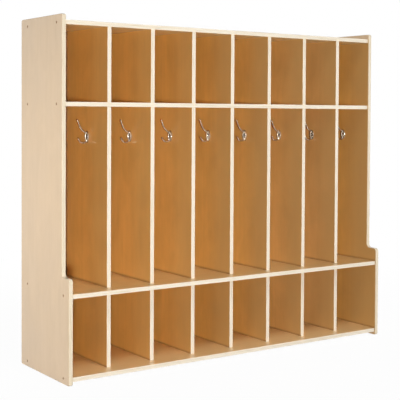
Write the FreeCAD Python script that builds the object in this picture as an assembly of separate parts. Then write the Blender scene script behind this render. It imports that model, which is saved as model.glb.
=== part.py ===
# An eight-bay coat locker with a bench, in birch plywood. Two stepped side panels carry four
# boards on connecting screws, the dividers stand in stopped grooves in the boards, a thin back
# board sits in grooves in the side panels, and each bay has a double coat hook.
# Millimetres. The origin is on the floor in the middle of the footprint and the front faces -Y.
import FreeCAD
import Part
import math
import os

from FreeCAD import Vector

# Overall sizes
width = 1372.0
side_height = 1219.0
locker_depth = 327.0  # side panels above the bench, front to back
bench_step = 54.0  # how far the bench stands out in front of that
panel = 15.0  # thickness of every plywood panel but the back board
bay_count = 8

# Heights of the tiers, where the cubbies take what the others leave
toe_gap = 12.0  # floor to the underside of the bottom panel
shoe_clear = 258.0
coat_clear = 615.0
side_lip = 19.0  # side panels above the top panel

# Side panel outline and rounded edges
front_setback = 5.0  # boards behind the side panels' front edges
ledge_rise = 51.5  # ledge of the step above the seat
nose_radius = 13.0  # outer round of the step
cove_radius = 16.0  # inner round of the step
corner_radius = 8.0
side_ease = 2.5  # rounded edges of the side panels
board_ease = 1.5  # rounded front edges of boards and dividers

# Grooves that hold the dividers and the back board
groove_depth = 3.0
groove_stop = 14.0  # grooves end this far behind the dividers' front edges
back_board = 5.0  # thickness of the back board
back_inset = 9.0  # back board in front of the side panels' rear edges
back_groove_depth = 6.0

# Connecting screws, one-piece and with a countersunk head that ends flush
connector_from_back = 53.0
connector_from_front = 41.5
connector_radius = 3.5
connector_head_radius = 5.0
connector_head_rim = 1.0
connector_head_cone = 3.0
connector_bite = 35.0  # screw inside the board's end
socket_flats = 4.0  # six-sided driver socket
socket_depth = 2.2

# Coat hook, where reach is out from the wall and rise is up from the plate's centre
hook_from_back = 174.0
hook_drop = 105.0  # plate's centre under the upper shelf
plate_height = 42.0
plate_width = 27.0
plate_end_radius = 9.0  # round at the top and bottom of the oval
plate_thickness = 3.5
plate_ease = 2.0
boss_reach = 3.8  # centres of the two round bosses that the arms and the spine spring from
boss_rise = 14.0
boss_radius = 3.6
spine_bow = 4.6  # how far the spine's middle stands out beyond the bosses
spine_radius = 2.6
arm_root_radius = 3.1
arm_tip_radius = 2.3
ball_radius = 3.5
upper_knee_reach = 23.7
upper_knee_rise = 21.5
upper_tip_reach = 38.0
upper_tip_rise = 58.0
upper_bend_radius = 42.0
lower_heel_reach = 8.5
lower_sole_drop = 21.5
lower_toe_reach = 26.5
lower_tip_reach = 34.5
lower_tip_drop = 7.5
lower_bend_radius = 12.0

# Hook screws
screw_spacing = 16.0
screw_radius = 1.7
screw_head_radius = 3.0
screw_head_height = 1.5
screw_bite = 11.0  # screw inside the wall
cross_length = 3.2  # slots of the cross recess
cross_width = 0.7
cross_depth = 0.9

# Fits and cuts
fastener_gap = 0.1  # around screws
overrun = 1.0  # how far a cut runs past the face that it opens

# Places worked out from the sizes above
bench_depth = locker_depth + bench_step
left = -width / 2
right = width / 2
front = -bench_depth / 2
back = bench_depth / 2
locker_front = front + bench_step
divider_front = locker_front + front_setback
seat_front = front + front_setback
inner_left = left + panel
inner_right = right - panel
back_board_rear = back - back_inset
back_board_front = back_board_rear - back_board
bottom_level = toe_gap
seat_level = bottom_level + panel + shoe_clear
shelf_level = seat_level + panel + coat_clear
top_level = side_height - side_lip - panel
ledge_level = seat_level + panel + ledge_rise
bay_pitch = (width - panel) / bay_count
hook_y = back - hook_from_back
hook_level = shelf_level - hook_drop

# Each board: underside level, front edge, side panel's front edge there, grooved faces
boards = {
    "bottom_panel": (bottom_level, seat_front, front, ("top",)),
    "seat_shelf": (seat_level, seat_front, front, ("under", "top")),
    "upper_shelf": (shelf_level, divider_front, locker_front, ("under", "top")),
    "top_panel": (top_level, divider_front, locker_front, ("under",)),
}
tiers = {
    "shoe": (bottom_level, seat_level),
    "coat": (seat_level, shelf_level),
    "cubby": (shelf_level, top_level),
}


def block(low, high):
    """A box between two opposite corners."""
    size = high - low
    return Part.makeBox(size.x, size.y, size.z, low)


def divider_centre(line):
    return left + panel / 2 + line * bay_pitch


def turned(profile, start, axis):
    """A turned piece: profile holds (distance along the axis, radius) pairs."""
    side = Vector(0, 1, 0)
    points = [start + axis * along + side * radius for along, radius in profile]
    face = Part.Face(Part.makePolygon(points + points[:1]))
    return face.revolve(start, axis, 360)


def eased(solid, radius, picked):
    """Rounds the edges that picked chooses."""
    return solid.makeFillet(radius, [edge for edge in solid.Edges if picked(edge)])


def lies_at(edge, axis, value):
    """True where both ends of the edge have that coordinate."""
    return all(math.isclose(getattr(vertex.Point, axis), value, abs_tol=1e-6) for vertex in edge.Vertexes)


def quarter_arc(start, centre, end):
    """A quarter round in the side panel's plane."""
    outward = ((start + end) / 2 - centre).normalize()
    return Part.Arc(start, centre + outward * (start - centre).Length, end).toShape()


def rounded_outline(corners):
    """A closed wire through (point, radius) corners that are all square, each rounded by its radius."""
    count = len(corners)
    edges = []
    starts = []
    ends = []
    for index, (point, radius) in enumerate(corners):
        before = (corners[index - 1][0] - point).normalize()
        after = (corners[(index + 1) % count][0] - point).normalize()
        starts.append(point + before * radius)
        ends.append(point + after * radius)
        centre = point + (before + after) * radius
        edges.append(quarter_arc(starts[index], centre, ends[index]))
    for index in range(count):
        edges.append(Part.makeLine(ends[index - 1], starts[index]))
    return Part.Wire(Part.__sortEdges__(edges))


def connector(end, y, level, gap=0):
    """A connecting screw through one side panel into a board at that level, or its hole."""
    head = connector_head_radius + gap
    shank = connector_radius + gap
    tip = panel + connector_bite + gap
    mouth = -overrun if gap else 0
    profile = [
        (mouth, 0),
        (mouth, head),
        (connector_head_rim, head),
        (connector_head_rim + connector_head_cone, shank),
        (tip, shank),
        (tip, 0),
    ]
    start = Vector(end * width / 2, y, level + panel / 2)
    axis = Vector(-end, 0, 0)
    solid = turned(profile, start, axis)
    return solid if gap else solid.cut(driver_socket(start, axis))


def driver_socket(start, axis):
    """The six-sided socket in a connecting screw's head."""
    reach = socket_flats / math.sqrt(3)
    turns = [math.radians(60 * corner) for corner in range(6)]
    mouth = start - axis * overrun
    points = [mouth + Vector(0, math.cos(turn), math.sin(turn)) * reach for turn in turns]
    return Part.Face(Part.makePolygon(points + points[:1])).extrude(axis * (socket_depth + overrun))


def connector_lines(side_front):
    return (side_front + connector_from_front, back - connector_from_back)


def screw_places():
    return (hook_y - screw_spacing / 2, hook_y + screw_spacing / 2)


def hook_screw(wall, y, gap=0):
    """A countersunk screw through a hook's plate into the wall behind it, or its hole."""
    mouth = -plate_thickness - (overrun if gap else 0)
    profile = [
        (mouth, 0),
        (mouth, screw_head_radius + gap),
        (-plate_thickness, screw_head_radius + gap),
        (screw_head_height - plate_thickness, screw_radius + gap),
        (screw_bite + gap, screw_radius + gap),
        (screw_bite + gap, 0),
    ]
    start = Vector(wall, y, hook_level)
    axis = Vector(1, 0, 0)
    if gap:
        return turned(profile, start, axis)
    profile.pop(1)
    return turned(profile, start, axis).cut(cross_recess(start - axis * plate_thickness))


def cross_recess(centre):
    """The driver's cross in a hook screw's head, about the middle of the head."""
    slots = []
    for half_y, half_z in ((cross_length / 2, cross_width / 2), (cross_width / 2, cross_length / 2)):
        low = centre + Vector(-overrun, -half_y, -half_z)
        slots.append(block(low, centre + Vector(cross_depth, half_y, half_z)))
    return slots[0].fuse(slots[1])


def hook_wall(line):
    """The face that the hook of a bay is screwed to: the bay's right-hand wall."""
    return divider_centre(line) - panel / 2


def without_hook_screws(solid, line):
    for y in screw_places():
        solid = solid.cut(hook_screw(hook_wall(line), y, fastener_gap))
    return solid


def side_outline(x):
    """The stepped outline of a side panel, as a closed wire at that x."""
    corners = [
        (Vector(x, back, 0), corner_radius),
        (Vector(x, front, 0), corner_radius),
        (Vector(x, front, ledge_level), nose_radius),
        (Vector(x, locker_front, ledge_level), cove_radius),
        (Vector(x, locker_front, side_height), corner_radius),
        (Vector(x, back, side_height), corner_radius),
    ]
    return rounded_outline(corners)


def side_panel(end):
    """A side panel: end is -1 for the left one and 1 for the right one."""
    outer = left if end < 0 else inner_right
    solid = Part.Face(side_outline(outer)).extrude(Vector(panel, 0, 0))
    solid = eased(solid, side_ease, lambda edge: lies_at(edge, "x", outer) or lies_at(edge, "x", outer + panel))
    inner = end * inner_right
    groove_floor = inner + end * back_groove_depth
    low = Vector(min(inner - end * overrun, groove_floor), back_board_front, bottom_level)
    high = Vector(max(inner - end * overrun, groove_floor), back_board_rear, top_level + panel)
    solid = solid.cut(block(low, high))
    for level, _, side_front, _ in boards.values():
        for y in connector_lines(side_front):
            solid = solid.cut(connector(end, y, level, fastener_gap))
    if end > 0:
        solid = without_hook_screws(solid, bay_count)
    return solid


def divider_groove(line, face_level, face):
    """A stopped groove for one divider in the upper or lower face of a board."""
    floor = face_level - groove_depth if face == "top" else face_level + groove_depth
    mouth = face_level + overrun if face == "top" else face_level - overrun
    centre = divider_centre(line)
    low = Vector(centre - panel / 2, divider_front + groove_stop, min(floor, mouth))
    high = Vector(centre + panel / 2, back_board_front + overrun, max(floor, mouth))
    return block(low, high)


def board(level, board_front, side_front, grooved_faces):
    """One of the four boards that run between the side panels."""
    low = Vector(inner_left, board_front, level)
    high = Vector(inner_right, back_board_front, level + panel)
    solid = eased(block(low, high), board_ease, lambda edge: lies_at(edge, "y", board_front)
                  and edge.Length > panel)
    cuts = []
    for face in grooved_faces:
        face_level = level + panel if face == "top" else level
        cuts += [divider_groove(line, face_level, face) for line in range(1, bay_count)]
    for end in (-1, 1):
        cuts += [connector(end, y, level, fastener_gap) for y in connector_lines(side_front)]
    return solid.cut(Part.makeCompound(cuts))


def divider(line, lower, upper):
    """An upright between two boards, with a tongue at each end that stops short of the front edge."""
    near = divider_front + groove_stop
    foot = lower + panel
    outline = [
        (divider_front, foot),
        (near, foot),
        (near, foot - groove_depth),
        (back_board_front, foot - groove_depth),
        (back_board_front, upper + groove_depth),
        (near, upper + groove_depth),
        (near, upper),
        (divider_front, upper),
    ]
    start = divider_centre(line) - panel / 2
    points = [Vector(start, y, z) for y, z in outline]
    solid = Part.Face(Part.makePolygon(points + points[:1])).extrude(Vector(panel, 0, 0))
    return eased(solid, board_ease, lambda edge: lies_at(edge, "y", divider_front) and edge.Length > panel)


def back_panel():
    low = Vector(inner_left - back_groove_depth, back_board_front, bottom_level)
    high = Vector(inner_right + back_groove_depth, back_board_rear, top_level + panel)
    return block(low, high)


def oval_wire(half_width, half_height, end_radius):
    """A true oval of four arcs that run into each other, upright in the plane x = 0."""
    end_centre = half_height - end_radius
    spread = half_width * half_width + end_centre * end_centre - end_radius * end_radius
    side_radius = spread / (2 * (half_width - end_radius))
    share = side_radius / (side_radius - end_radius)
    join_y = half_width - side_radius + share * (side_radius - half_width)
    join_z = share * end_centre
    right_low, right_high = Vector(0, join_y, -join_z), Vector(0, join_y, join_z)
    left_low, left_high = Vector(0, -join_y, -join_z), Vector(0, -join_y, join_z)
    arcs = [
        Part.Arc(right_low, Vector(0, half_width, 0), right_high),
        Part.Arc(right_high, Vector(0, 0, half_height), left_high),
        Part.Arc(left_high, Vector(0, -half_width, 0), left_low),
        Part.Arc(left_low, Vector(0, 0, -half_height), right_low),
    ]
    return Part.Wire([arc.toShape() for arc in arcs])


def hook_plate():
    """The oval plate against the wall, with its front edge rounded."""
    outline = oval_wire(plate_width / 2, plate_height / 2, plate_end_radius)
    solid = Part.Face(outline).extrude(Vector(-plate_thickness, 0, 0))
    return eased(solid, plate_ease, lambda edge: lies_at(edge, "x", -plate_thickness))


def hook_arm(corners, bend_radius):
    """A rod through (reach, rise) corners that thins at each run towards a ball on its tip."""
    points = [Vector(-reach, 0, rise) for reach, rise in corners]
    runs = len(points) - 1
    thinning = arm_root_radius - arm_tip_radius
    radii = [arm_root_radius - thinning * step / runs for step in range(runs + 1)]
    pieces = []
    start = points[0]
    for index in range(1, runs):
        corner = points[index]
        towards = (points[index - 1] - corner).normalize()
        away = (points[index + 1] - corner).normalize()
        turn = math.pi - towards.getAngle(away)
        setback = bend_radius * math.tan(turn / 2)
        bend_start = corner + towards * setback
        centre = corner + (towards + away).normalize() * (bend_radius / math.cos(turn / 2))
        section = Part.Face(Part.Wire(Part.Circle(bend_start, towards, radii[index]).toShape()))
        pieces.append(tapered_run(start, bend_start, radii[index - 1], radii[index]))
        pieces.append(section.revolve(centre, away.cross(towards), math.degrees(turn)))
        start = corner + away * setback
    pieces.append(tapered_run(start, points[-1], radii[runs - 1], radii[runs]))
    pieces.append(Part.makeSphere(ball_radius, points[-1]))
    return pieces


def tapered_run(start, end, start_radius, end_radius):
    along = end - start
    return Part.makeCone(start_radius, end_radius, along.Length, start, along)


def hook_spine():
    """The rod that bows out over the plate from the lower boss to the upper one."""
    bow_radius = (boss_rise * boss_rise + spine_bow * spine_bow) / (2 * spine_bow)
    centre = Vector(bow_radius - spine_bow - boss_reach, 0, 0)
    start = Vector(-boss_reach, 0, -boss_rise)
    axis = Vector(0, 1, 0)
    section = Part.Face(Part.Wire(Part.Circle(start, axis.cross(start - centre), spine_radius).toShape()))
    return section.revolve(centre, axis, math.degrees(2 * math.asin(boss_rise / bow_radius)))


def coat_hook():
    """The hook at the origin of its plate, with its wall in the plane x = 0."""
    upper = [
        (boss_reach, boss_rise),
        (upper_knee_reach, upper_knee_rise),
        (upper_tip_reach, upper_tip_rise),
    ]
    lower = [
        (boss_reach, -boss_rise),
        (lower_heel_reach, -lower_sole_drop),
        (lower_toe_reach, -lower_sole_drop),
        (lower_tip_reach, -lower_tip_drop),
    ]
    bosses = [Part.makeSphere(boss_radius, Vector(-boss_reach, 0, rise)) for rise in (-boss_rise, boss_rise)]
    arms = hook_arm(upper, upper_bend_radius) + hook_arm(lower, lower_bend_radius)
    return hook_plate().multiFuse(bosses + [hook_spine()] + arms).removeSplitter().Solids[0]


def placed_hook(hook, line):
    placed = hook.copy()
    placed.translate(Vector(hook_wall(line), hook_y, hook_level))
    return without_hook_screws(placed, line)


def fastener_groups():
    """Connecting screws of each side, and hook screws, each kind as a group of separate solids."""
    places = [(y, level) for level, _, side_front, _ in boards.values() for y in connector_lines(side_front)]
    walls = [hook_wall(line) for line in range(1, bay_count + 1)]
    groups = {
        "left_connecting_screws": [connector(-1, y, level) for y, level in places],
        "right_connecting_screws": [connector(1, y, level) for y, level in places],
        "hook_screws": [hook_screw(wall, y) for wall in walls for y in screw_places()],
    }
    return {name: Part.makeCompound(solids) for name, solids in groups.items()}


def build():
    """Every node of the locker by name."""
    nodes = {"left_side_panel": side_panel(-1), "right_side_panel": side_panel(1)}
    for name, sizes in boards.items():
        nodes[name] = board(*sizes)
    for tier, (lower, upper) in tiers.items():
        for line in range(1, bay_count):
            solid = divider(line, lower, upper)
            nodes[f"{tier}_divider_{line}"] = without_hook_screws(solid, line) if tier == "coat" else solid
    nodes["back_panel"] = back_panel()
    hook = coat_hook()
    for line in range(1, bay_count + 1):
        nodes[f"coat_hook_{line}"] = placed_hook(hook, line)
    nodes.update(fastener_groups())
    return nodes


os.makedirs("parts", exist_ok=True)
for node_name, node_shape in build().items():
    node_shape.exportStep(f"parts/{node_name}.step")
    print(node_name, len(node_shape.Solids), "solids", round(node_shape.Volume), "mm3", node_shape.isValid())
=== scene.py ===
# Looks of the eight-bay plywood coat locker: plywood with its grain and plies, varnish, cast hooks
# with their screws, soft studio light and the photograph's camera. Metres, in the locker's own frame.
import math

import bmesh
import bpy
from mathutils import Matrix, Vector


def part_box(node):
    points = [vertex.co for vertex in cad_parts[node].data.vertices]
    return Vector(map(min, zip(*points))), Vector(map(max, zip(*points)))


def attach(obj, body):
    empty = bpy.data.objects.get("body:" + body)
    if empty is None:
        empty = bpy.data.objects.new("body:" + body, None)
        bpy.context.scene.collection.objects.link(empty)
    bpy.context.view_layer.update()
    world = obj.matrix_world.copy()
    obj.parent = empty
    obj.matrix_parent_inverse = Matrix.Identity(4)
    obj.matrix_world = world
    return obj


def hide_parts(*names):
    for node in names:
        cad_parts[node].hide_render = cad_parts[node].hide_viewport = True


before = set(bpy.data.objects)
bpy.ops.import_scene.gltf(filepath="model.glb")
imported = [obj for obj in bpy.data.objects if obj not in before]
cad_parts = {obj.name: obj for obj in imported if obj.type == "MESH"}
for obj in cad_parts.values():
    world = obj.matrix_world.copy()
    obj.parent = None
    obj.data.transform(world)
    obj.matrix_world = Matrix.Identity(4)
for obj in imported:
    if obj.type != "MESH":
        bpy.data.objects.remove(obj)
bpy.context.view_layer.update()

# Camera of the photograph, with pixels of its 400 x 400 frame
frame_pixels = 400
focal_pixels = 1010.14
centre_pixel = (260.0, 141.43)
camera_place = Vector((-2.1379, -3.1832, 0.8969))
camera_yaw = math.radians(36.581)
camera_pitch = math.radians(1.610)
camera_roll = math.radians(0.387)
sensor_width = 36.0  # millimetres

# Sky and floor, which light the locker less than their white shows
sky_strength = 0.07
floor_size = 60.0
floor_white = 0.75
floor_glow_share = 0.97  # of plain white near the locker, where the rest shows its shadow
glow_start, glow_end = 0.9, 2.6  # distances from the frame's origin between which the share grows to one

# Lamps: name, place, aim, size of the disc, watts and spread in degrees
lamps = (
    ("key", (-4.0, -7.1, 0.60), (-0.25, 0, 0.60), 0.8, 46, 55),
    ("fill", (-3.7, -2.3, 0.8), (-0.5, -0.1, 0.65), 1.0, 15, 180),
    ("overhead", (-0.3, -2.8, 4.6), (-0.1, -0.1, 0.3), 1.8, 92, 180),
    ("left", (-2.0, 0.22, 0.70), (-0.7, 0.0, 0.68), 0.6, 3.05, 110),
    ("right", (3.1, -1.3, 0.80), (0.6, -0.1, 0.65), 1.4, 32, 180),
    ("rear", (1.2, 4.6, 1.6), (0, 0, 0.6), 2.4, 140, 180),
)

# Plywood
panel = 0.015
ply_count = 7
line_origin = -0.6785  # middle of the left side panel, where the upright panels' lines start
line_pitch = 0.169625
board_seed = 10  # a board's height times this seeds its tint, as the number of its line does for an upright
ply_seed = 17.0  # steps between the tints of the plies in neighbouring panels

# Tones of the wood, as (dark streaks, light ground). The pale and edge tones are the birch's own; the others
# are copies of it, the darker ones with painted shade and the lighter ones with painted light, as noted on
# each
pale_tone = ((0.592, 0.411, 0.233, 1), (0.682, 0.488, 0.289, 1))
# Darker, more saturated copy of the birch for the faces inside the bays: partly the varnish's amber, partly
# painted shade and bounced colour
amber_shaded_tone = ((0.690, 0.357, 0.082, 1), (0.900, 0.483, 0.126, 1))
# Darker still, for the short dividers of the cubbies and shoe bays: painted shade
russet_shaded_tone = ((0.640, 0.312, 0.064, 1), (0.845, 0.423, 0.102, 1))
# Rosier, darker copy for the dividers towards the right: partly their veneer's colour, partly painted shade
rosy_shaded_tone = ((0.590, 0.308, 0.088, 1), (0.780, 0.420, 0.143, 1))
rosy_start, rosy_end = 4.4, 7.0  # divider lines between which the inner faces turn rosier and darker: partly their veneer, partly painted shade as the light falls off to the right
shaded_tone = ((0.575, 0.283, 0.060, 1), (0.745, 0.389, 0.097, 1))
# Lighter copy for the tops of the seat and the upper shelf: painted light from above
honey_lit_tone = ((0.700, 0.456, 0.191, 1), (0.860, 0.592, 0.279, 1))
# Lighter still, for the top face of the bottom panel: painted light
bottom_lit_tone = ((0.860, 0.580, 0.265, 1), (0.980, 0.700, 0.360, 1))
# Light copy for the top panel's underside, the cubbies' ceiling: painted light
ceiling_lit_tone = ((0.900, 0.720, 0.410, 1), (0.980, 0.820, 0.500, 1))
edge_tone = ((0.580, 0.478, 0.332, 1), (0.770, 0.710, 0.596, 1))
# Darker copy of the edge tone for the side panels' front edges: painted shade that offsets the lamps' extra
# light there
side_edge_shaded_tone = ((0.515, 0.405, 0.265, 1), (0.725, 0.652, 0.507, 1))
# The back board's dark brown: partly its own colour, partly painted shade in the bays' back corners
board_and_shade_tone = ((0.165, 0.076, 0.026, 1), (0.280, 0.137, 0.050, 1))

# Grain: noise scales across and along the fibres, then detail, roughness and distortion
band_grain = (70, 1.6, 4.0, 0.6, 0.6)
cloud_grain = (14, 6.0, 4.0, 0.6, 0.8)
ring_grain = (6, 0.7, 2.0, 0.5, 1.0)
fibre_grain = (850, 11, 3.0, 0.6)
pore_grain = (520, 38, 2.0, 0.5)
long_ply_grain = (300, 9, 3.0, 0.6)
core_grain = (60, 4, 2.0, 0.5)
# Marks that don't follow the fibres: noise scales along x, y and z, then as above
mottle_marks = ((9, 9, 9), 3.0, 0.55)
end_ply_marks = ((1100, 1100, 1100), 2.0, 0.6)
scuff_marks = ((38, 38, 150), 4.0, 0.65, 0.8)

# Shares of the grain in how light a face is, and the limits between which noise turns into marks
middle_light = 0.5
band_share, cloud_share, fibre_share, mottle_share, tint_share = 0.55, 0.95, 0.45, 0.45, 0.2
ring_turns, ring_share = 60.0, 0.03
pore_start, pore_end, pore_share = 0.68, 0.78, -0.25
darkest_light, lightest_light = -0.1, 1.1
scuff_start, scuff_end = 0.62, 0.72

# The same for the cut edges
ply_dark, ply_light = 0.2, 0.55
end_grain_share, ply_tint_share, core_share, glue_share = -0.18, -0.16, -0.22, -0.25
core_outside, core_inside = 0.0042, 0.0012  # distances from the panel's middle
core_patch_start, core_patch_end = 0.25, 0.65
glue_start, glue_end = 0.44, 0.49  # distances from a ply's middle, in plies

# Slopes, as the size of the normal's part through the panel: one on a face and zero on a cut edge
side_blend = 0.2  # of the signed slope, within which the tones of the two faces meet
edge_end, face_start = 0.72, 0.95
arris_start, arris_full = 0.15, 0.40
flat_start, flat_full = 0.93, 0.995

# Varnish
coat_weight, coat_roughness = 0.7, 0.05
sheen_start, sheen_end, fibre_in_sheen = 0.3, 0.9, 0.25
least_wood_roughness, most_wood_roughness = 0.28, 0.42
scuff_roughness, rubbed_roughness = 0.10, 0.30
wood_bump, wood_bump_height = 0.10, 0.0004

# Painted shade on the upright panels: inner faces darker towards the front, painted contact shade where they
# meet a board, and the side panels' rounded edges darkened, painted shade that damps the lamps' highlight
# there
front_shade_colour = (0.460, 0.275, 0.103, 1)
front_shade_start, front_shade_end, front_shade_waver = 0.07, -0.10, 0.06
least_front_shade_line, most_front_shade_line = 1.5, 5.0  # uprights counted from the left side panel, which is 0
least_front_shade_share, most_front_shade_share = 0.48, 0.78
contact_shade_colour = (0.170, 0.075, 0.020, 1)
contact_shade_share = 0.58
contact_shade_reach = 0.010
arris_shade_colour = (0.560, 0.445, 0.305, 1)
arris_shade_share = 0.8

# Hardboard
board_fibre_marks = ((900, 900, 900), 3.0, 0.7)
blotch_marks = ((14, 14, 14), 4.0, 0.6)
blotch_share, board_dark, board_light = 0.7, 0.2, 0.8
rear_start, rear_end = 0.5, 0.9  # of the normal's part towards the back
screen_turns = 4200.0  # radians of the press screen's waves in a metre
fibre_in_bump, board_bump, board_bump_height = 0.5, 0.25, 0.0003
rear_in_sheen, board_sheen_start, board_sheen_end = 0.6, 0.2, 1.4
least_board_roughness, most_board_roughness = 0.46, 0.85
board_specular = 0.3

# Metals, as (dark patina, light ground, least roughness, most roughness)
nickel_look = ((0.49, 0.43, 0.35, 1), (0.67, 0.60, 0.49, 1), 0.14, 0.28)
# The hook screws' dark steel is partly their own finish, partly painted shade for their recesses
screw_and_recess_shade_look = ((0.16, 0.15, 0.14, 1), (0.30, 0.28, 0.26, 1), 0.25, 0.45)
bronze_look = ((0.330, 0.205, 0.115, 1), (0.500, 0.345, 0.215, 1), 0.42, 0.60)
patina_marks = ((160, 160, 160), 4.0, 0.6)
patina_start, patina_end = 0.3, 0.7
scratch_marks = ((2600, 2600, 260), 3.0, 0.6)
scratch_in_sheen, metal_sheen_start, metal_sheen_end = 0.4, 0.35, 0.95
metal_bump, metal_bump_height = 0.06, 0.0002

# Coat hook, where reach is out from the wall and rise is up from the plate's centre
hook_count = 8
plate_half_width, plate_half_height = 0.0135, 0.021
plate_thickness, plate_ease = 0.0035, 0.002
boss_reach, boss_rise, boss_radius = 0.0038, 0.014, 0.0036
spine_bow, spine_radius = 0.0046, 0.0026
arm_root_radius, arm_tip_radius, ball_radius = 0.0031, 0.0023, 0.0035
upper_corners = ((boss_reach, boss_rise), (0.0237, 0.0215), (0.038, 0.058))
upper_bend = 0.042
lower_corners = ((boss_reach, -boss_rise), (0.0085, -0.0215), (0.0265, -0.0215), (0.0345, -0.0075))
lower_bend = 0.012
screw_offset = 0.008
sink_radius, sink_depth, hole_radius = 0.0031, 0.0015, 0.0018
voxel_size = 0.00045
smooth_share, smooth_rounds = 0.5, 7
sharp_angle = math.radians(40)


def connect(tree, value, socket):
    """Sets an input to a number or a colour, or links another node's output to it."""
    if isinstance(value, bpy.types.NodeSocket):
        tree.links.new(value, socket)
    else:
        socket.default_value = value


def add(tree, kind, inputs=None, **settings):
    """A shader node, whose inputs are numbers, colours or other nodes' outputs."""
    node = tree.nodes.new("ShaderNode" + kind)
    for name, value in settings.items():
        setattr(node, name, value)
    for key, value in (inputs or {}).items():
        connect(tree, value, node.inputs[key])
    return node


def maths(tree, operation, first, second=0.0, third=0.0):
    return add(tree, "Math", {0: first, 1: second, 2: third}, operation=operation).outputs[0]


def around(tree, value, share, base):
    """Base plus a share of how far a noise value is from its mean."""
    return maths(tree, "MULTIPLY_ADD", maths(tree, "SUBTRACT", value, 0.5), share, base)


def fade(tree, value, start, end, low=0.0, high=1.0):
    """A smooth step from low to high while value goes from start to end."""
    inputs = {"Value": value, "From Min": start, "From Max": end, "To Min": low, "To Max": high}
    return add(tree, "MapRange", inputs, interpolation_type="SMOOTHSTEP").outputs["Result"]


def noise(tree, place, scales, detail, roughness, distortion=0.0):
    """Noise that is stretched by a scale along each axis."""
    stretched = add(tree, "VectorMath", {0: place, 1: scales}, operation="MULTIPLY").outputs[0]
    inputs = {
        "Vector": stretched, "Scale": 1.0, "Detail": detail, "Roughness": roughness, "Distortion": distortion,
    }
    return add(tree, "TexNoise", inputs).outputs["Fac"]


def random_value(tree, seed):
    return add(tree, "TexWhiteNoise", {"W": seed}, noise_dimensions="1D").outputs["Value"]


def colour_mix(tree, share, first, second):
    # The colour sockets share their names with the node's other types, so they go by number
    return add(tree, "Mix", {0: share, 6: first, 7: second}, data_type="RGBA").outputs[2]


def new_material(name):
    """A material with no shader yet, its node tree and the place on the object, from that tree."""
    material = bpy.data.materials.new(name)
    material.use_nodes = True
    tree = material.node_tree
    tree.nodes.clear()
    return material, tree, add(tree, "TexCoord").outputs["Object"]


def parts_of(tree, vector):
    return add(tree, "SeparateXYZ", {0: vector}).outputs


def normal_parts(tree):
    return parts_of(tree, add(tree, "NewGeometry").outputs["Normal"])


def finish_shader(tree, strength, distance, height, inputs):
    """Bumps the surface by height and gives it a shader with these inputs."""
    bump = add(tree, "Bump", {"Strength": strength, "Distance": distance, "Height": height})
    shader = add(tree, "BsdfPrincipled", {**inputs, "Normal": bump.outputs[0]})
    add(tree, "OutputMaterial", {0: shader.outputs[0]})


def line_and_depth(tree, through, middle):
    """The number that seeds a panel's tint, and the place within its thickness, from its middle."""
    if middle is not None:
        return middle * board_seed, maths(tree, "SUBTRACT", through, middle)
    lines = maths(tree, "DIVIDE", maths(tree, "SUBTRACT", through, line_origin), line_pitch)
    line = maths(tree, "ROUND", lines)
    return line, maths(tree, "MULTIPLY", maths(tree, "SUBTRACT", lines, line), line_pitch)


def face_light(tree, grained, line, fibre, mottle):
    """How light a face is, from its bands, clouds, fibre, mottle, own tint, wavy rings and short pores."""
    light = middle_light
    for value, share in (
        (grained(*band_grain), band_share),
        (grained(*cloud_grain), cloud_share),
        (fibre, fibre_share),
        (mottle, mottle_share),
        (random_value(tree, line), tint_share),
    ):
        light = around(tree, value, share, light)
    rings = maths(tree, "SINE", maths(tree, "MULTIPLY", grained(*ring_grain), ring_turns))
    light = maths(tree, "MULTIPLY_ADD", rings, ring_share, light)
    pores = fade(tree, grained(*pore_grain), pore_start, pore_end)
    light = maths(tree, "MULTIPLY_ADD", pores, pore_share, light)
    return fade(tree, light, darkest_light, lightest_light)


def edge_colour(tree, place, grained, line, depth, rim_tone):
    """Cut edges: plies of long and of end grain by turns, a darker core and thin glue lines."""
    plies = maths(tree, "MULTIPLY_ADD", depth, ply_count / panel, ply_count / 2)
    ply = maths(tree, "FLOOR", plies)
    end_grain = maths(tree, "MODULO", ply, 2.0)
    long_grain = grained(*long_ply_grain)
    end_pores = noise(tree, place, *end_ply_marks)
    difference = maths(tree, "SUBTRACT", end_pores, long_grain)
    ply_look = maths(tree, "MULTIPLY_ADD", end_grain, difference, long_grain)
    ply_tint = random_value(tree, maths(tree, "MULTIPLY_ADD", line, ply_seed, ply))
    core = fade(tree, maths(tree, "ABSOLUTE", depth), core_outside, core_inside)
    core_patch = fade(tree, grained(*core_grain), core_patch_start, core_patch_end)
    from_middle = maths(tree, "ABSOLUTE", maths(tree, "SUBTRACT", maths(tree, "FRACT", plies), 0.5))
    light = fade(tree, ply_look, ply_dark, ply_light)
    for value, share in (
        (end_grain, end_grain_share),
        (ply_tint, ply_tint_share),
        (maths(tree, "MULTIPLY", core, core_patch), core_share),
        (fade(tree, from_middle, glue_start, glue_end), glue_share),
    ):
        light = maths(tree, "MULTIPLY_ADD", value, share, light)
    return colour_mix(tree, maths(tree, "MAXIMUM", light, 0.0), *rim_tone)


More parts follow.
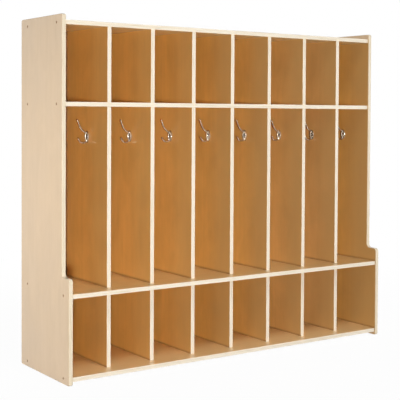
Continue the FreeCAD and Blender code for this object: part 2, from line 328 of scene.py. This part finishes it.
def painted_inner_shade(tree, face, line, place_y, place_z, mottle, inner):
    """An upright face with painted shade where inner is one: darker towards the front, and painted contact
    shade where it meets a board.
    """
    # Painted shade: inner faces darker towards the front, more so on the uprights further right
    share = fade(tree, line, least_front_shade_line, most_front_shade_line, least_front_shade_share, most_front_shade_share)
    front_shade = fade(tree, around(tree, mottle, front_shade_waver, place_y), front_shade_start, front_shade_end, 0.0, share)
    face = colour_mix(tree, maths(tree, "MULTIPLY", front_shade, inner), face, front_shade_colour)
    # Painted contact shade on the inner faces just above the seat and the bottom panel
    contact_shade = 0.0
    for name in ("bottom_panel", "seat_shelf"):
        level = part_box(name)[1].z
        above = fade(tree, place_z, level + contact_shade_reach, level, 0.0, contact_shade_share)
        below = maths(tree, "GREATER_THAN", place_z, level - contact_shade_reach)
        contact_shade = maths(tree, "MULTIPLY_ADD", above, below, contact_shade)
    return colour_mix(tree, maths(tree, "MULTIPLY", contact_shade, inner), face, contact_shade_colour)


def plywood(name, across, middle, low_tone, high_tone, rim_tone=edge_tone, inner=None):
    """Varnished plywood. The thickness runs along the axis across, x or z, about middle, and the grain along
    the other of the two; a middle of None takes the nearest upright panel's. The face towards the low end
    of that axis has low_tone, the other one high_tone, and the cut edges have rim_tone. Upright panels have
    painted shade on the face that inner names, low, high or both, and side panels on their rounded edges."""
    material, tree, place = new_material(name)
    coordinates = parts_of(tree, place)
    upright = across == "x"
    through_axis = "X" if upright else "Z"
    facing = normal_parts(tree)[through_axis]

    def grained(wide, long, *settings):
        return noise(tree, place, (wide, wide, long) if upright else (long, wide, wide), *settings)

    line, depth = line_and_depth(tree, coordinates[through_axis], middle)
    fibre = grained(*fibre_grain)
    mottle = noise(tree, place, *mottle_marks)

    # Faces
    side = fade(tree, facing, -side_blend, side_blend)
    if inner in ("low", "high"):
        # A side panel's lip, above the top panel, has its outer face's tone on both sides
        lip = maths(tree, "GREATER_THAN", coordinates["Z"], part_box("top_panel")[1].z)
        if inner == "high":
            side = maths(tree, "MINIMUM", side, maths(tree, "SUBTRACT", 1.0, lip))
        else:
            side = maths(tree, "MAXIMUM", side, lip)
    tones = [colour_mix(tree, side, low, high) for low, high in zip(low_tone, high_tone)]
    if inner == "both":
        # Dividers towards the right turn rosier and darker: partly veneer colour, partly painted shade
        rosy = fade(tree, line, rosy_start, rosy_end)
        tones = [colour_mix(tree, rosy, tone, rosier) for tone, rosier in zip(tones, rosy_shaded_tone)]
    face = colour_mix(tree, face_light(tree, grained, line, fibre, mottle), *tones)
    # Painted shade on the inner faces
    if inner:
        inside = {"low": maths(tree, "SUBTRACT", 1.0, side), "high": side, "both": 1.0}[inner]
        face = painted_inner_shade(tree, face, line, coordinates["Y"], coordinates["Z"], mottle, inside)

    # Faces and edges together; the arrises get rougher varnish, and on the side panels a darker colour,
    # painted shade that damps the lamps' highlight there
    slope = maths(tree, "ABSOLUTE", facing)
    edge = edge_colour(tree, place, grained, line, depth, rim_tone)
    colour = colour_mix(tree, fade(tree, slope, edge_end, face_start), edge, face)
    off_edge = fade(tree, slope, arris_start, arris_full)
    arris_wear_and_shade = maths(tree, "MULTIPLY", off_edge, fade(tree, slope, flat_full, flat_start))
    # Painted shade on the side panels' rounded edges, damping the lamps' highlight there
    if inner in ("low", "high"):
        colour = colour_mix(tree, maths(tree, "MULTIPLY", arris_wear_and_shade, arris_shade_share), colour, arris_shade_colour)

    # Varnish
    scuffs = fade(tree, noise(tree, place, *scuff_marks), scuff_start, scuff_end)
    rough = fade(tree, maths(tree, "MULTIPLY_ADD", fibre, fibre_in_sheen, mottle),
                 sheen_start, sheen_end, least_wood_roughness, most_wood_roughness)
    rough = maths(tree, "MULTIPLY_ADD", scuffs, scuff_roughness, rough)
    rough = maths(tree, "MULTIPLY_ADD", arris_wear_and_shade, rubbed_roughness, rough)
    coat = maths(tree, "MULTIPLY", fade(tree, slope, flat_start, flat_full), coat_weight)
    finish_shader(tree, wood_bump, wood_bump_height, fibre, {
        "Base Color": colour, "Roughness": rough, "Coat Weight": coat, "Coat Roughness": coat_roughness,
    })
    return material


def hardboard(name):
    """Brown hardboard, smooth and sealed in front, with the press screen's mesh on its rear. Its dark tone is
    partly painted shade for the bays' back corners.
    """
    material, tree, place = new_material(name)
    coordinates = parts_of(tree, place)
    fibres = noise(tree, place, *board_fibre_marks)
    blotch = noise(tree, place, *blotch_marks)
    light = around(tree, blotch, blotch_share, fibres)
    colour = colour_mix(tree, fade(tree, light, board_dark, board_light), *board_and_shade_tone)
    rear = fade(tree, normal_parts(tree)["Y"], rear_start, rear_end)
    waves = [maths(tree, "SINE", maths(tree, "MULTIPLY", coordinates[axis], screen_turns)) for axis in "XZ"]
    screen = maths(tree, "MULTIPLY", maths(tree, "MULTIPLY", *waves), rear)
    rough = fade(tree, maths(tree, "MULTIPLY_ADD", rear, rear_in_sheen, blotch),
                 board_sheen_start, board_sheen_end, least_board_roughness, most_board_roughness)
    finish_shader(tree, board_bump, board_bump_height, around(tree, fibres, fibre_in_bump, screen), {
        "Base Color": colour, "Roughness": rough, "Specular IOR Level": board_specular,
    })
    return material


def metal(name, dark, light, least_roughness, most_roughness):
    """Cast or turned metal with a faint patina and fine scratches."""
    material, tree, place = new_material(name)
    patina = noise(tree, place, *patina_marks)
    scratch = noise(tree, place, *scratch_marks)
    colour = colour_mix(tree, fade(tree, patina, patina_start, patina_end), dark, light)
    rough = fade(tree, maths(tree, "MULTIPLY_ADD", scratch, scratch_in_sheen, patina),
                 metal_sheen_start, metal_sheen_end, least_roughness, most_roughness)
    finish_shader(tree, metal_bump, metal_bump_height, scratch, {
        "Base Color": colour, "Metallic": 1.0, "Roughness": rough,
    })
    return material


def give(node_name, material):
    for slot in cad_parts[node_name].material_slots:
        slot.material = material


def finish_wood():
    # The dividers' faces inside the bays take the darker copies of the birch: painted shade
    tall = plywood("birch_tall_divider", "x", None, amber_shaded_tone, amber_shaded_tone, inner="both")
    short = plywood("birch_short_divider", "x", None, russet_shaded_tone, russet_shaded_tone, inner="both")
    left = plywood("birch_left_side", "x", None, pale_tone, amber_shaded_tone, side_edge_shaded_tone, "high")
    right = plywood("birch_right_side", "x", None, shaded_tone, pale_tone, side_edge_shaded_tone, "low")
    give("left_side_panel", left)
    give("right_side_panel", right)
    # (underside, top) of each board: the amber undersides are partly painted shade, and the honey, bottom and
    # ceiling tones painted light
    tones = {
        "bottom_panel": (pale_tone, bottom_lit_tone),
        "seat_shelf": (amber_shaded_tone, honey_lit_tone),
        "upper_shelf": (amber_shaded_tone, honey_lit_tone),
        "top_panel": (ceiling_lit_tone, pale_tone),
    }
    for name, (under, over) in tones.items():
        low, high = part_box(name)
        give(name, plywood("birch_" + name, "z", (low.z + high.z) / 2, under, over))
    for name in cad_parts:
        if "divider" in name:
            give(name, tall if name.startswith("coat") else short)
    give("back_panel", hardboard("hardboard"))


def finish_metal():
    add_hooks(metal("satin_nickel", *nickel_look))
    give("hook_screws", metal("dark_screws", *screw_and_recess_shade_look))
    bronze = metal("bronzed_steel", *bronze_look)
    for name in ("left_connecting_screws", "right_connecting_screws"):
        give(name, bronze)


def rounded_path(corners, bend_radius, steps=12):
    """Points in the plane y = 0 through (reach, rise) corners, with the inner corners rounded."""
    points = [Vector((-reach, 0, rise)) for reach, rise in corners]
    path = [points[0]]
    for before, corner, after in zip(points, points[1:], points[2:]):
        towards = (before - corner).normalized()
        away = (after - corner).normalized()
        turn = math.pi - towards.angle(away)
        centre = corner + (towards + away).normalized() * (bend_radius / math.cos(turn / 2))
        arm = corner + towards * (bend_radius * math.tan(turn / 2)) - centre
        axis = away.cross(towards)
        turns = [turn * step / steps for step in range(steps + 1)]
        path += [centre + Matrix.Rotation(part, 3, axis) @ arm for part in turns]
    path.append(points[-1])
    return path


def bowed_path(steps=16):
    """The spine's middle line, from the lower boss out and up to the upper one."""
    radius = (boss_rise ** 2 + spine_bow ** 2) / (2 * spine_bow)
    half_turn = math.asin(boss_rise / radius)
    centre = Vector((radius - spine_bow - boss_reach, 0, 0))
    turns = [half_turn * (2 * step / steps - 1) for step in range(steps + 1)]
    return [centre + Vector((-math.cos(turn), 0, math.sin(turn))) * radius for turn in turns]


def add_tube(mesh, path, radii, sides=18):
    """A closed tube along a path that lies in a plane of constant y."""
    across = Vector((0, 1, 0))
    turns = [2 * math.pi * side / sides for side in range(sides)]
    rings = []
    for index, (point, radius) in enumerate(zip(path, radii)):
        along = (path[min(index + 1, len(path) - 1)] - path[max(index - 1, 0)]).normalized()
        up = along.cross(across)
        spokes = [across * math.cos(turn) + up * math.sin(turn) for turn in turns]
        rings.append([mesh.verts.new(point + spoke * radius) for spoke in spokes])
    join_rings(mesh, rings)


def join_rings(mesh, rings):
    """Faces between rings of the same count, with both ends closed."""
    for lower, upper in zip(rings, rings[1:]):
        for side in range(len(lower)):
            following = (side + 1) % len(lower)
            mesh.faces.new((lower[side], lower[following], upper[following], upper[side]))
    mesh.faces.new(list(reversed(rings[0])))
    mesh.faces.new(rings[-1])


def add_plate(mesh, sides=72, steps=5):
    """The oval plate, whose front edge is rounded."""
    flat = plate_thickness - plate_ease
    levels = [(0, 0), (flat, 0)]
    for step in range(1, steps + 1):
        turn = math.pi / 2 * step / steps
        levels.append((flat + plate_ease * math.sin(turn), plate_ease * (1 - math.cos(turn))))
    rings = []
    for reach, inset in levels:
        ring = []
        for side in range(sides):
            turn = 2 * math.pi * side / sides
            ring.append(mesh.verts.new((-reach, (plate_half_width - inset) * math.cos(turn),
                                        (plate_half_height - inset) * math.sin(turn))))
        rings.append(ring)
    join_rings(mesh, rings)


def add_ball(mesh, radius, reach, rise):
    bmesh.ops.create_uvsphere(mesh, u_segments=24, v_segments=16, radius=radius,
                              matrix=Matrix.Translation((-reach, 0, rise)))


def new_object(name, shape):
    mesh = bpy.data.meshes.new(name)
    shape.to_mesh(mesh)
    shape.free()
    thing = bpy.data.objects.new(name, mesh)
    bpy.context.scene.collection.objects.link(thing)
    return thing


def rough_hook():
    """Plate, bosses, spine and arms, which still run into each other."""
    shape = bmesh.new()
    add_plate(shape)
    spine = bowed_path()
    add_tube(shape, spine, [spine_radius] * len(spine))
    for corners, bend in ((upper_corners, upper_bend), (lower_corners, lower_bend)):
        path = rounded_path(corners, bend)
        thinning = (arm_root_radius - arm_tip_radius) / (len(path) - 1)
        add_tube(shape, path, [arm_root_radius - thinning * index for index in range(len(path))])
        add_ball(shape, boss_radius, *corners[0])
        add_ball(shape, ball_radius, *corners[-1])
    return new_object("rough_hook", shape)


def hook_sinks():
    """The two countersunk screw holes, as solids to cut with."""
    stations = ((-2 * plate_thickness, sink_radius), (-plate_thickness, sink_radius),
                (sink_depth - plate_thickness, hole_radius), (plate_thickness, hole_radius))
    radii = [radius for _, radius in stations]
    shape = bmesh.new()
    for offset in (-screw_offset, screw_offset):
        add_tube(shape, [Vector((x, offset, 0)) for x, _ in stations], radii, sides=32)
    bmesh.ops.recalc_face_normals(shape, faces=shape.faces)
    return new_object("hook_sinks", shape)


def cast_hook():
    """The hook's mesh, blended as in one casting and cut for its screws."""
    rough = rough_hook()
    cutter = hook_sinks()
    blend = rough.modifiers.new("blend", "REMESH")
    blend.mode = "VOXEL"
    blend.voxel_size = voxel_size
    soften = rough.modifiers.new("soften", "SMOOTH")
    soften.factor = smooth_share
    soften.iterations = smooth_rounds
    holes = rough.modifiers.new("holes", "BOOLEAN")
    holes.operation = "DIFFERENCE"
    holes.object = cutter
    holes.solver = "EXACT"
    mesh = bpy.data.meshes.new_from_object(rough.evaluated_get(bpy.context.evaluated_depsgraph_get()))
    for thing in (rough, cutter):
        spare = thing.data
        bpy.data.objects.remove(thing)
        bpy.data.meshes.remove(spare)
    mesh.name = "cast_hook"
    mesh.shade_smooth()
    mesh.set_sharp_from_angle(angle=sharp_angle)
    return mesh


def add_hooks(material):
    mesh = cast_hook()
    mesh.materials.clear()
    mesh.materials.append(material)
    tip_rise = upper_corners[-1][1] + ball_radius
    for number in range(1, hook_count + 1):
        low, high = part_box(f"coat_hook_{number}")
        hook = bpy.data.objects.new(f"cast_hook_{number}", mesh)
        hook.location = (high.x, (low.y + high.y) / 2, high.z - tip_rise)
        bpy.context.scene.collection.objects.link(hook)
        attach(hook, "root")
        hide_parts(f"coat_hook_{number}")


def seen_background(tree):
    """One for rays that see the background, straight, mirrored or through glass, and zero for its light."""
    path = add(tree, "LightPath").outputs
    seen = maths(tree, "MAXIMUM", path["Is Camera Ray"], path["Is Transmission Ray"])
    return maths(tree, "MAXIMUM", seen, path["Is Glossy Ray"])


def add_floor():
    bpy.ops.mesh.primitive_plane_add(size=floor_size)
    floor = bpy.context.object
    floor.name = "floor"
    material, tree, place = new_material("white_floor")
    diffuse = add(tree, "BsdfDiffuse", {"Color": (floor_white, floor_white, floor_white, 1)})
    glow = add(tree, "Emission", {"Color": (1, 1, 1, 1), "Strength": 1.0})
    distance = add(tree, "VectorMath", {0: place}, operation="LENGTH").outputs["Value"]
    share = fade(tree, distance, glow_start, glow_end, floor_glow_share, 1.0)
    share = maths(tree, "MULTIPLY", seen_background(tree), share)
    shader = add(tree, "MixShader", {0: share, 1: diffuse.outputs[0], 2: glow.outputs[0]})
    add(tree, "OutputMaterial", {0: shader.outputs[0]})
    floor.data.materials.append(material)


def add_sky():
    world = bpy.data.worlds.new("studio")
    world.use_nodes = True
    tree = world.node_tree
    tree.nodes.clear()
    strength = maths(tree, "MULTIPLY_ADD", seen_background(tree), 1 - sky_strength, sky_strength)
    background = add(tree, "Background", {"Color": (1, 1, 1, 1), "Strength": strength})
    add(tree, "OutputWorld", {0: background.outputs[0]})
    bpy.context.scene.world = world


def add_lamp(name, place, aim, size, watts, spread):
    data = bpy.data.lights.new(name, "AREA")
    data.shape = "DISK"
    data.size = size
    data.energy = watts
    data.spread = math.radians(spread)
    lamp = bpy.data.objects.new(name, data)
    lamp.location = place
    lamp.rotation_euler = (Vector(aim) - Vector(place)).to_track_quat("-Z", "Y").to_euler()
    bpy.context.scene.collection.objects.link(lamp)


def add_camera():
    forward = Vector((math.sin(camera_yaw) * math.cos(camera_pitch),
                      math.cos(camera_yaw) * math.cos(camera_pitch), -math.sin(camera_pitch)))
    level_right = Vector((math.cos(camera_yaw), -math.sin(camera_yaw), 0))
    level_up = level_right.cross(forward)
    right = level_right * math.cos(camera_roll) + level_up * math.sin(camera_roll)
    up = level_up * math.cos(camera_roll) - level_right * math.sin(camera_roll)
    data = bpy.data.cameras.new("camera")
    data.sensor_width = sensor_width
    data.lens = focal_pixels / frame_pixels * sensor_width
    data.shift_x = (frame_pixels / 2 - centre_pixel[0]) / frame_pixels
    data.shift_y = (centre_pixel[1] - frame_pixels / 2) / frame_pixels
    camera = bpy.data.objects.new("camera", data)
    turn = Matrix((right, up, -forward)).transposed().to_4x4()
    camera.matrix_world = Matrix.Translation(camera_place) @ turn
    bpy.context.scene.collection.objects.link(camera)
    bpy.context.scene.camera = camera


finish_wood()
finish_metal()
add_floor()
add_sky()
for lamp in lamps:
    add_lamp(*lamp)
add_camera()
bpy.context.scene.view_settings.view_transform = "Standard"
